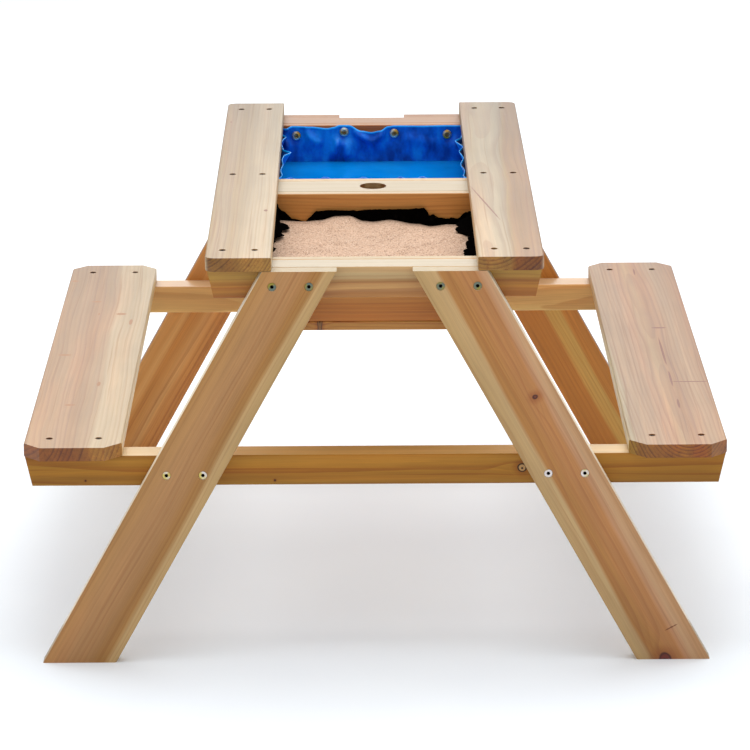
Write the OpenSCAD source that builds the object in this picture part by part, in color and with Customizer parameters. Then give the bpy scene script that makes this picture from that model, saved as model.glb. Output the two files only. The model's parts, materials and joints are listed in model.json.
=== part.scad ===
// Sand and water table: a child's A-frame picnic table with two lined boxes in its top.
// +X is to the right, +Y runs along the planks and +Z is up. The origin is on the floor,
// under the centre of the table. All sizes are in millimetres.

/* [Table] */
// Height of the table top above the floor
table_h = 550; // [540:1:600]
// Length of the planks, and so of the whole table
table_l = 935; // [900:1:1000]
// Distance from the outer edge of one bench to the outer edge of the other
overall_w = 917; // [905:1:960]

/* [Planks] */
// Thickness of the table and bench planks
plank_t = 18; // [16:0.5:20]
// Width of one table plank
plank_w = 85; // [80:0.5:90]
// Gap between the two table planks
plank_gap = 265; // [260:1:280]
// Radius of a table plank's two outer corners
plank_corner_r = 13; // [6:1:20]
// Height of the bench seats above the floor
seat_h = 297; // [285:1:310]
// Width of one bench plank
seat_w = 128; // [110:0.5:140]
// How far the bench planks' corners are cut off
seat_corner = 22; // [10:1:30]

/* [Frame] */
// Thickness of the legs
leg_t = 22; // [20:1:26]
// Width of the legs
leg_w = 84.5; // [80:0.5:90]
// Lean of the legs from upright
leg_lean = 29; // [28:0.1:29.5]
// Distance from the centre of the table to the outer corner of a foot
foot_reach = 440; // [435:0.5:445]
// Gap between the head of a leg and the table plank above it
leg_head_gap = 0.5; // [0.5:0.5:5]
// Thickness of the rails, front to back
rail_t = 40; // [38:1:44]
// Height of the rails
rail_h = 41; // [39:1:45]
// Half of a table rail's length, along its top
table_rail_reach = 216.5; // [208:0.5:217.5]
// Half of a seat rail's length, along its top
seat_rail_reach = 457.5; // [450:0.5:458.5]
// How much shorter the rails are underneath, at each end
rail_undercut = 9; // [5:1:15]
// Rounding of the long edges of planks, legs and rails
edge_r = 2; // [1:0.5:4]

/* [Boxes] */
// Thickness of the boxes' walls
wall_t = 14; // [12:0.5:16]
// Height of the boxes' walls
wall_h = 84; // [80:1:100]
// Width inside the boxes
box_inner_w = 296; // [290:1:300]
// Thickness of the floor slats
slat_t = 12; // [10:0.5:15]
// Width of the beam between the two boxes
beam_w = 64; // [56:1:70]
// Diameter of the parasol hole in the beam
parasol_d = 37; // [28:0.5:40]
// Depth from the rim of the boxes to the water
water_drop = 55; // [45:1:65]
// Depth from the rim of the boxes to the sand
sand_drop = 37; // [30:1:60]

/* [Hidden] */
$fn = 48;

// Clearances
soft_gap = 0.4;      // between a liner or its contents and what it lies against
hole_gap = 0.15;     // between a screw, bolt or nut and the wall of its hole

// Heights
plank_z = table_h - plank_t;                // underside of the table planks
seat_z = seat_h - plank_t;                  // underside of the bench planks
leg_head_z = plank_z - leg_head_gap;
table_rail_z = plank_z - rail_h / 2;        // centre of the table rails
seat_rail_z = seat_z - rail_h / 2;          // centre of the seat rails
wall_z = plank_z - wall_h;                  // underside of the box walls

// Places along Y, each one at the front and mirrored at the back
leg_y = table_l / 2 - leg_t / 2;
rail_y = table_l / 2 - leg_t - rail_t / 2;
box_y1 = rail_y - rail_t / 2;               // box's outer face against the rail
box_y0 = beam_w / 2;                        // box's outer face against the beam
box_l = box_y1 - box_y0;
box_y = (box_y0 + box_y1) / 2;
box_inner_l = box_l - 2 * wall_t;
box_outer_w = box_inner_w + 2 * wall_t;

// Places along X
plank_x = (plank_gap + plank_w) / 2;
seat_x = (overall_w - seat_w) / 2;
side_wall_x = (box_inner_w + wall_t) / 2;

// Floor slats
slat_count = 4;
slat_gap = 3;
slat_w = (box_l - (slat_count - 1) * slat_gap) / slat_count;
thin_edge_r = 1.5;   // rounding of the edges of walls and slats

// Leg bolts and their barrel nuts
bolt_d = 6;
bolt_head_d = 10.5;
bolt_bore_d = 11.8;  // of the shallow bore that the head lies in
bolt_bore_depth = 1.2;
bolt_sink = 0.4;     // how far the head lies below the leg's face
bolt_l = 55;
bolt_spacing = 47.5; // across the leg
bolt_socket = 4.5;   // across the flats of the hexagon socket
bolt_socket_depth = 3;
nut_d = 10;
nut_l = 18;
nut_depth = 48;      // from the face of the leg to the centre of the nut
nut_slot = 1.2;
bolt_end_gap = 2;    // free length of the hole beyond the bolt's end

// Wood screws: head diameter, shank diameter and length
plank_screw = [9, 4.5, 45];
wall_screw = [7, 3.5, 35];
hanging_screw = [8, 4, 38];
slat_screw = [7, 3.5, 30];
liner_screw = [7, 3.5, 15];
screw_sink = 1.2;    // how far a screw head lies below the surface
screw_tip = 4;       // length of a screw's point
over = 1;            // how far a cut runs past the face that it opens
recess_w = 1.1;      // width of a cross recess's arms
recess_l = 4.4;      // length of a cross recess's arms
recess_depth = 1.8;

// Places of the screws
table_screw_x = [154.5, 196];
seat_screw_x = [362, 426.5];
hanging_screw_x = 60;
hanging_screw_z = plank_z - 32;
corner_screw_z = [plank_z - 20, wall_z + 27];
slat_screw_y = 30;   // from the middle of a slat
// The liner's screws were placed by hand: X of each, and its distance below the rim
liner_screw_places = [[-113.5, 15.5], [-41.5, 10], [33.5, 12.5], [113, 14.5]];

// Liners
liner_t = 1.2;
water_hem_z = plank_z - 2;
sand_hem_z = plank_z - 24;
water_z = plank_z - water_drop;
sand_z = plank_z - sand_drop;
liner_hole_d = 5;

// Cup washers
cup_d = 14;
cup_h = 3;
cup_wall = 1;
cup_lip = 0.6;       // width of the flat lip round the screw's head
cup_edge = 0.5;      // how far the lip stands above the slope's upper edge
cup_lift = 0.1;      // gap between the washer and the liner

// -1 is the front half of the table, 1 the back half
front = -1;
back = 1;
left = -1;
right = 1;

// ---- Where a leg's bolts go ----

// Centre line of a right-hand leg at height z
function leg_x(z) = foot_reach - leg_w / 2 / cos(leg_lean) - z * tan(leg_lean);

// X of the two bolts through a right-hand leg at height z
function bolt_x(z) = [for (s = [-1, 1]) leg_x(z) + s * bolt_spacing / 2];

// ---- Shapes ----

// A w by h rectangle with its corners rounded, centred on the origin
module eased_rect(w, h, r) {
    square([w - 2 * r, h], center = true);
    square([w, h - 2 * r], center = true);
    for (sx = [-1, 1], sy = [-1, 1])
        translate([sx * (w / 2 - r), sy * (h / 2 - r)])
            circle(r = r);
}

// A board along X, centred on the origin: l long, t deep along Y and h high
module board_x(l, t, h, r) {
    rotate([90, 0, 90])
        linear_extrude(l, center = true)
            eased_rect(t, h, r);
}

// A board along Y, centred on the origin: l long, w wide along X and h high
module board_y(l, w, h, r) {
    rotate([90, 0, 0])
        linear_extrude(l, center = true)
            eased_rect(w, h, r);
}

// A screw that points down from the origin, where the top of its head lies
module screw(size, gap = 0) {
    head_r = size[0] / 2 + gap;
    shank_r = size[1] / 2 + gap;
    l = size[2] + gap;
    rotate_extrude()
        polygon([[0, 0], [head_r, 0], [shank_r, shank_r - head_r],
                 [shank_r, screw_tip - l], [0, -l]]);
}

// A countersunk wood screw with a cross recess
module wood_screw(size) {
    difference() {
        screw(size);
        for (a = [0, 90])
            rotate(a)
                translate([0, 0, (over - recess_depth) / 2])
                    cube([recess_l, recess_w, recess_depth + over], center = true);
    }
}

// The hole that a wood screw sits in, open above its head
module screw_hole(size) {
    screw(size, hole_gap);
    cylinder(d = size[0] + 2 * hole_gap, h = screw_sink + over);
}

// A leg bolt that points along +Y from the origin, where the face of its head lies
module bolt_shape(gap = 0) {
    head_r = bolt_head_d / 2 + gap;
    shank_r = bolt_d / 2 + gap;
    rotate([-90, 0, 0])
        rotate_extrude()
            polygon([[0, 0], [head_r, 0], [shank_r, head_r - shank_r],
                     [shank_r, bolt_l], [0, bolt_l]]);
}

module leg_bolt() {
    socket_r = bolt_socket / 2 / cos(30);
    difference() {
        bolt_shape();
        rotate([-90, 0, 0])
            translate([0, 0, -over])
                cylinder(r = socket_r, h = over + bolt_socket_depth, $fn = 6);
    }
}

// The blind hole through a leg and into its rail, with a bore round the bolt's head
module bolt_hole() {
    bolt_shape(hole_gap);
    rotate([-90, 0, 0]) {
        cylinder(d = bolt_d + 2 * hole_gap, h = bolt_l + bolt_end_gap);
        translate([0, 0, -bolt_sink - over])
            cylinder(d = bolt_bore_d, h = over + bolt_bore_depth);
    }
}

// A cross dowel nut with its middle at the origin and its screwdriver slot below
module barrel_nut() {
    difference() {
        cylinder(d = nut_d, h = nut_l, center = true);
        rotate([90, 0, 0])
            cylinder(d = bolt_d + 2 * hole_gap, h = nut_d + over, center = true);
        translate([0, 0, -nut_l / 2])
            cube([nut_d + over, nut_slot, 2 * nut_slot], center = true);
    }
}

// ---- What happens at each end of the table, at both sides of the middle ----

// Children made for the front are repeated, turned to face inwards, at the back
module at_both_ends() {
    for (turn = [0, 180])
        rotate(turn)
            children();
}

// Places its child at each leg bolt of the rails at height z, just below the leg's face
module at_bolts(z) {
    at_both_ends()
        for (x = bolt_x(z), side = [-1, 1])
            translate([side * x, -table_l / 2 + bolt_sink, z])
                children();
}

// Places its child in the barrel nuts' places for the rails at height z
module at_nuts(z) {
    at_both_ends()
        for (x = bolt_x(z), side = [-1, 1])
            translate([side * x, -table_l / 2 + nut_depth, z])
                children();
}

// Places its child on a plank's top face, above each screw
module at_plank_screws(xs, ys, z) {
    for (x = xs, side = [-1, 1], y = ys)
        translate([side * x, y, z - screw_sink])
            children();
}

module at_table_screws() {
    at_plank_screws(table_screw_x, [-rail_y, 0, rail_y], table_h)
        children();
}

module at_seat_screws() {
    at_plank_screws(seat_screw_x, [-rail_y, rail_y], seat_h)
        children();
}

// Screws through the end walls of both boxes into the ends of the side walls
module at_corner_screws() {
    at_both_ends()
        for (side = [-1, 1], z = corner_screw_z) {
            translate([side * side_wall_x, -box_y1 + screw_sink, z])
                rotate([90, 0, 0])
                    children();
            translate([side * side_wall_x, -box_y0 - screw_sink, z])
                rotate([-90, 0, 0])
                    children();
        }
}

// Screws from inside the boxes into the rails and the beam
module at_hanging_screws() {
    at_both_ends()
        for (side = [-1, 1]) {
            translate([side * hanging_screw_x, -box_y1 + wall_t - screw_sink, hanging_screw_z])
                rotate([-90, 0, 0])
                    children();
            translate([side * hanging_screw_x, -box_y0 - wall_t + screw_sink, hanging_screw_z])
                rotate([90, 0, 0])
                    children();
        }
}

// Y of the middle of a box's floor slats, for the box at the back
function slat_y(i) = box_y0 + slat_w / 2 + (i - 1) * (slat_w + slat_gap);

// Screws from below, through the slats into the side walls
module at_slat_screws() {
    at_both_ends()
        for (side = [-1, 1], i = [1 : slat_count], dy = [-slat_screw_y, slat_screw_y])
            translate([side * side_wall_x, slat_y(i) + dy, wall_z - slat_t + screw_sink])
                rotate([180, 0, 0])
                    children();
}

// Places its child on the liner at both ends of the water box, facing into the box
module at_cup_washers() {
    for (place = liner_screw_places) {
        translate([place[0], box_y1 - wall_t - soft_gap - liner_t, plank_z - place[1]])
            rotate([90, 0, 0])
                children();
        translate([place[0], box_y0 + wall_t + soft_gap + liner_t, plank_z - place[1]])
            rotate([-90, 0, 0])
                children();
    }
}

// Screws whose heads lie level with the cup washers
module at_liner_screws() {
    at_cup_washers()
        translate([0, 0, cup_h])
            children();
}

// ---- Frame ----

// One leg: end is front or back, side is left or right
module leg(end, side) {
    color("#bd8d5c")
        difference() {
            intersection() {
                mirror([side == left ? 1 : 0, 0, 0])
                    translate([foot_reach, end * leg_y, 0])
                        rotate([0, -leg_lean, 0])
                            translate([-leg_w / 2, 0, table_h / 2])
                                linear_extrude(1.5 * table_h, center = true)
                                    eased_rect(leg_w, leg_t, edge_r);
                translate([0, end * leg_y, leg_head_z / 2])
                    cube([overall_w, 2 * leg_t, leg_head_z], center = true);
            }
            at_bolts(table_rail_z)
                bolt_hole();
            at_bolts(seat_rail_z)
                bolt_hole();
        }
}

// A rail along X with undercut ends, its middle at height z
module rail(end, reach, z) {
    top = rail_h / 2;
    difference() {
        translate([0, end * rail_y, z])
            intersection() {
                board_x(2 * reach, rail_t, rail_h, edge_r);
                rotate([90, 0, 0])
                    linear_extrude(rail_t + over, center = true)
                        polygon([[-reach, top], [-reach + rail_undercut, -top],
                                 [reach - rail_undercut, -top], [reach, top]]);
            }
        at_bolts(z)
            bolt_hole();
        at_nuts(z)
            translate([0, 0, -rail_h])
                cylinder(d = nut_d + 2 * hole_gap, h = rail_h + nut_l / 2 + hole_gap);
    }
}

module seat_rail(end) {
    color("#c9995f")
        difference() {
            rail(end, seat_rail_reach, seat_rail_z);
            at_seat_screws()
                screw_hole(plank_screw);
        }
}

module table_rail(end) {
    color("#c9995f")
        difference() {
            rail(end, table_rail_reach, table_rail_z);
            at_table_screws()
                screw_hole(plank_screw);
            at_hanging_screws()
                screw_hole(hanging_screw);
        }
}

module centre_beam() {
    color("#ead9b9")
        difference() {
            translate([0, 0, table_rail_z])
                board_x(2 * table_rail_reach, beam_w, rail_h, thin_edge_r);
            translate([0, 0, table_rail_z])
                cylinder(d = parasol_d, h = rail_h + over, center = true, $fn = 96);
            at_table_screws()
                screw_hole(plank_screw);
            at_hanging_screws()
                screw_hole(hanging_screw);
        }
}

// ---- Planks ----

module seat(side) {
    hx = seat_w / 2;
    hy = table_l / 2;
    color("#dcbfa0")
        difference() {
            translate([side * seat_x, 0, seat_h - plank_t / 2])
                intersection() {
                    board_y(table_l, seat_w, plank_t, edge_r);
                    linear_extrude(plank_t + over, center = true)
                        polygon([[hx, hy - seat_corner], [hx - seat_corner, hy],
                                 [seat_corner - hx, hy], [-hx, hy - seat_corner],
                                 [-hx, seat_corner - hy], [seat_corner - hx, -hy],
                                 [hx - seat_corner, -hy], [hx, seat_corner - hy]]);
                }
            at_seat_screws()
                screw_hole(plank_screw);
        }
}

module top_plank(side) {
    inner_w = plank_w - plank_corner_r;
    corner_x = side * (plank_w / 2 - plank_corner_r);
    corner_y = table_l / 2 - plank_corner_r;
    color("#dcbfa0")
        difference() {
            translate([side * plank_x, 0, table_h - plank_t / 2])
                intersection() {
                    board_y(table_l, plank_w, plank_t, edge_r);
                    linear_extrude(plank_t + over, center = true) {
                        translate([-side * plank_corner_r / 2, 0])
                            square([inner_w, table_l], center = true);
                        square([plank_w, 2 * corner_y], center = true);
                        for (end = [-1, 1])
                            translate([corner_x, end * corner_y])
                                circle(r = plank_corner_r);
                    }
                }
            at_table_screws()
                screw_hole(plank_screw);
        }
}

// ---- Boxes: end is front for the sand box and back for the water box ----

module box_wall_holes() {
    at_corner_screws()
        screw_hole(wall_screw);
    at_hanging_screws()
        screw_hole(hanging_screw);
    at_slat_screws()
        screw_hole(slat_screw);
    at_liner_screws()
        screw_hole(liner_screw);
}

// A wall along X, its middle at y
module cross_wall(end, y) {
    color("#b8743f")
        difference() {
            translate([0, end * y, wall_z + wall_h / 2])
                board_x(box_outer_w, wall_t, wall_h, thin_edge_r);
            box_wall_holes();
        }
}

module end_wall(end) {
    cross_wall(end, box_y1 - wall_t / 2);
}

module beam_wall(end) {
    cross_wall(end, box_y0 + wall_t / 2);
}

module side_wall(end, side) {
    color("#b8743f")
        difference() {
            translate([side * side_wall_x, end * box_y, wall_z + wall_h / 2])
                board_y(box_inner_l, wall_t, wall_h, thin_edge_r);
            box_wall_holes();
        }
}

module floor_slat(end, i) {
    color("#c8a36a")
        difference() {
            translate([0, end * slat_y(i), wall_z - slat_t / 2])
                board_x(box_outer_w, slat_w, slat_t, thin_edge_r);
            at_slat_screws()
                screw_hole(slat_screw);
        }
}

// ---- Liners and what they hold ----

// A block that fills a box's inside from height z0 to z1, less gap on every side
module box_block(end, gap, z0, z1) {
    translate([0, end * box_y, (z0 + z1) / 2])
        cube([box_inner_w - 2 * gap, box_inner_l - 2 * gap, z1 - z0], center = true);
}

// An open tub that lines a box up to height hem_z
module tub(end, hem_z) {
    floor_z = wall_z + soft_gap;
    difference() {
        box_block(end, soft_gap, floor_z, hem_z);
        box_block(end, soft_gap + liner_t, floor_z + liner_t, hem_z + over);
    }
}

// What a liner holds, up to height top_z
module fill(end, top_z) {
    box_block(end, 2 * soft_gap + liner_t, wall_z + 2 * soft_gap + liner_t, top_z);
}

module water_liner() {
    color("#0b57c4")
        difference() {
            tub(back, water_hem_z);
            at_cup_washers()
                cylinder(d = liner_hole_d, h = 4 * liner_t, center = true);
        }
}

module sand_liner() {
    color("#1a1a1c")
        tub(front, sand_hem_z);
}

module water_fill() {
    color("#1b7fd8", 0.6)
        fill(back, water_z);
}

module sand_fill() {
    color("#d8bda0")
        fill(front, sand_z);
}

// ---- Fasteners ----

module leg_bolts(z) {
    color("#b9b48c")
        at_bolts(z)
            leg_bolt();
}

module barrel_nuts(z) {
    color("#b9b48c")
        at_nuts(z)
            barrel_nut();
}

module plank_screws() {
    color("#8f8a80")
        at_table_screws()
            wood_screw(plank_screw);
}

module seat_screws() {
    color("#8f8a80")
        at_seat_screws()
            wood_screw(plank_screw);
}

module box_corner_screws() {
    color("#8f8a80")
        at_corner_screws()
            wood_screw(wall_screw);
}

module box_hanging_screws() {
    color("#8f8a80")
        at_hanging_screws()
            wood_screw(hanging_screw);
}

module floor_slat_screws() {
    color("#8f8a80")
        at_slat_screws()
            wood_screw(slat_screw);
}

module liner_screws() {
    color("#8f8a80")
        at_liner_screws()
            wood_screw(liner_screw);
}

// A turned ring with a conical seat for the screw's head
module cup_washer() {
    seat_r = liner_screw[0] / 2 + hole_gap;
    bore_r = liner_screw[1] / 2 + hole_gap;
    rotate_extrude()
        polygon([[bore_r, cup_lift], [cup_d / 2, cup_lift],
                 [cup_d / 2 - cup_wall, cup_h - cup_edge],
                 [seat_r + cup_lip, cup_h], [seat_r, cup_h],
                 [bore_r, cup_h - seat_r + bore_r]]);
}

module liner_cup_washers() {
    color("#b9b48c")
        at_cup_washers()
            cup_washer();
}

leg(front, left);  // leg_front_left
leg(front, right);  // leg_front_right
leg(back, left);  // leg_back_left
leg(back, right);  // leg_back_right
seat_rail(front);  // seat_rail_front
seat_rail(back);  // seat_rail_back
table_rail(front);  // table_rail_front
table_rail(back);  // table_rail_back
centre_beam();
seat(left);  // seat_left
seat(right);  // seat_right
top_plank(left);  // top_plank_left
top_plank(right);  // top_plank_right
end_wall(front);  // sand_box_end_wall
beam_wall(front);  // sand_box_beam_wall
side_wall(front, left);  // sand_box_left_wall
side_wall(front, right);  // sand_box_right_wall
end_wall(back);  // water_box_end_wall
beam_wall(back);  // water_box_beam_wall
side_wall(back, left);  // water_box_left_wall
side_wall(back, right);  // water_box_right_wall
floor_slat(front, 1);  // sand_floor_slat_1
floor_slat(front, 2);  // sand_floor_slat_2
floor_slat(front, 3);  // sand_floor_slat_3
floor_slat(front, 4);  // sand_floor_slat_4
floor_slat(back, 1);  // water_floor_slat_1
floor_slat(back, 2);  // water_floor_slat_2
floor_slat(back, 3);  // water_floor_slat_3
floor_slat(back, 4);  // water_floor_slat_4
sand_liner();
water_liner();
sand_fill();
water_fill();
leg_bolts(table_rail_z);  // leg_bolts_upper
leg_bolts(seat_rail_z);  // leg_bolts_lower
barrel_nuts(table_rail_z);  // barrel_nuts_upper
barrel_nuts(seat_rail_z);  // barrel_nuts_lower
plank_screws();
seat_screws();
box_corner_screws();
box_hanging_screws();
floor_slat_screws();
liner_screws();
liner_cup_washers();
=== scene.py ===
"""Looks of the sand and water table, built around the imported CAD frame.

Metres, +Z up, +Y along the planks. The wooden boards and the fasteners are the CAD nodes
with procedural materials. The two liners, the water and the sand are made here.
"""
import json
import math

import bpy
import numpy as np
from mathutils import Matrix, Vector, noise


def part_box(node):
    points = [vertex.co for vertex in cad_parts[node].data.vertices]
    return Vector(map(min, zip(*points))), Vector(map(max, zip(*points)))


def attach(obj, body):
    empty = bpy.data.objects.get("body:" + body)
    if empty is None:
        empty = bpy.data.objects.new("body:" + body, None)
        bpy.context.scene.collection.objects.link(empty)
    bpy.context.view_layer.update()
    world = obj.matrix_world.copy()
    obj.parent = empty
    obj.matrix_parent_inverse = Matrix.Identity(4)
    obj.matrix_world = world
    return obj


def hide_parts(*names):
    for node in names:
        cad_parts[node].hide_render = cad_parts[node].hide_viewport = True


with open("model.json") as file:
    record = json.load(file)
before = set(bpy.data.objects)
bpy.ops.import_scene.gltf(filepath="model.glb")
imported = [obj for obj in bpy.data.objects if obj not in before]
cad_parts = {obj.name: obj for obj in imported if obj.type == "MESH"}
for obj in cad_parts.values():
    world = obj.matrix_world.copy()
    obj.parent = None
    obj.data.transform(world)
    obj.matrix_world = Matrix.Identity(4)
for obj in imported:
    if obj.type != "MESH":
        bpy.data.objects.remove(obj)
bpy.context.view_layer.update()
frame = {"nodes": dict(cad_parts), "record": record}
nodes = frame["nodes"]

MM = 0.001
X_AXIS = (1, 0, 0)
Y_AXIS = (0, 1, 0)
Z_AXIS = (0, 0, 1)

# The legs' lean and the boards' face widths, as in the CAD. Only the slats' differs: their bands
# are spread over 87 mm of a slat's 91 mm
LEG_LEAN = math.radians(29)
LEG_W = 0.0845
RAIL_H = 0.041
BEAM_W = 0.064
SEAT_W = 0.128
PLANK_W = 0.085
WALL_H = 0.084
SLAT_W = 0.087


# ---- Colours and node graphs ----

def colour(hex_code):
    """A linear RGBA colour from an sRGB hex code such as "c08040"."""
    parts = [int(hex_code[i:i + 2], 16) / 255 for i in (0, 2, 4)]
    linear = [p / 12.92 if p <= 0.04045 else ((p + 0.055) / 1.055) ** 2.4 for p in parts]
    return (*linear, 1.0)


class Graph:
    """One material's nodes, added so that a formula in Python becomes the same formula in nodes."""

    def __init__(self, name):
        self.material = bpy.data.materials.new(name)
        self.material.use_nodes = True
        self.tree = self.material.node_tree
        self.tree.nodes.clear()
        self.output = self.tree.nodes.new("ShaderNodeOutputMaterial")
        self.place = self.add("ShaderNodeTexCoord", {}).outputs["Object"]

    def add(self, kind, inputs, **settings):
        node = self.tree.nodes.new(kind)
        for name, value in settings.items():
            setattr(node, name, value)
        for socket, value in inputs.items():
            self.feed(node.inputs[socket], value)
        return node

    def feed(self, socket, value):
        if isinstance(value, bpy.types.NodeSocket):
            self.tree.links.new(value, socket)
        else:
            socket.default_value = value

    def math(self, operation, a, b=0.0, c=0.0):
        return self.add("ShaderNodeMath", {0: a, 1: b, 2: c}, operation=operation).outputs[0]

    def vector(self, operation, a, b=(0, 0, 0), scale=1.0):
        return self.add("ShaderNodeVectorMath", {0: a, 1: b, 3: scale},
                        operation=operation).outputs["Vector"]

    def xyz(self, vector):
        return self.add("ShaderNodeSeparateXYZ", {0: vector}).outputs

    def noise(self, vector, scale, detail=2.0, roughness=0.5):
        """Soft noise from 0 to 1, about 0.5 in the middle."""
        return self.add("ShaderNodeTexNoise",
                        {"Vector": vector, "Scale": scale, "Detail": detail,
                         "Roughness": roughness}).outputs["Fac"]

    def streaks(self, place, along, across, detail=2.0, roughness=0.5):
        """Soft noise drawn out along x: that many waves a metre along it, and across it."""
        return self.noise(self.vector("MULTIPLY", place, (along, across, across)), 1.0, detail,
                          roughness)

    def smooth(self, value, low, high):
        """0 below low, 1 above high, and smooth in between."""
        return self.add("ShaderNodeMapRange", {"Value": value, "From Min": low, "From Max": high},
                        interpolation_type="SMOOTHSTEP").outputs["Result"]

    def ramp(self, value, stops):
        """A colour ramp through (position, colour) stops."""
        node = self.add("ShaderNodeValToRGB", {"Fac": value})
        elements = node.color_ramp.elements
        while len(elements) < len(stops):
            elements.new(0.5)
        for element, (position, shade) in zip(elements, stops):
            element.position = position
            element.color = shade
        return node.outputs["Color"]

    def mix(self, share, a, b):
        """Colour a turning into b as share goes from 0 to 1."""
        node = self.add("ShaderNodeMix", {}, data_type="RGBA")
        self.feed(node.inputs["Factor"], share)
        self.feed(node.inputs[6], a)
        self.feed(node.inputs[7], b)
        return node.outputs[2]

    def bump(self, height, strength, distance, normal=None):
        inputs = {"Height": height, "Strength": strength, "Distance": distance}
        if normal is not None:
            inputs["Normal"] = normal
        return self.add("ShaderNodeBump", inputs).outputs["Normal"]

    def finish(self, base, roughness, normal=None, **constants):
        """A Principled surface. constants are plain values for its other sockets."""
        shader = self.add("ShaderNodeBsdfPrincipled", {"Base Color": base, "Roughness": roughness})
        if normal is not None:
            self.feed(shader.inputs["Normal"], normal)
        for name, value in constants.items():
            shader.inputs[name.replace("_", " ")].default_value = value
        self.tree.links.new(shader.outputs["BSDF"], self.output.inputs["Surface"])
        return self.material


# ---- Wood ----

LATE_TINT = (0.76, 0.60, 0.46)   # what the dark line at the end of each year does to the colour
PATCH_TINT = (1.04, 0.95, 0.90)
KNOT_TINT = (0.72, 0.48, 0.34)
END_GAMMA = 1.5                  # light goes deeper into end grain, so its colour acts again
END_TINT = (1.13, 0.80, 0.24)
PLAIN_END = dict(end_gamma=1.0, end_tint=(0.66, 0.64, 0.62))  # the rails, legs and boxes are duller


def turn(along, across):
    """Euler angles from a board's own axes, x along its grain and y across its face, to the frame's."""
    x = Vector(along).normalized()
    y = Vector(across).normalized()
    return Matrix((x, y, x.cross(y))).transposed().to_euler()


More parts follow.
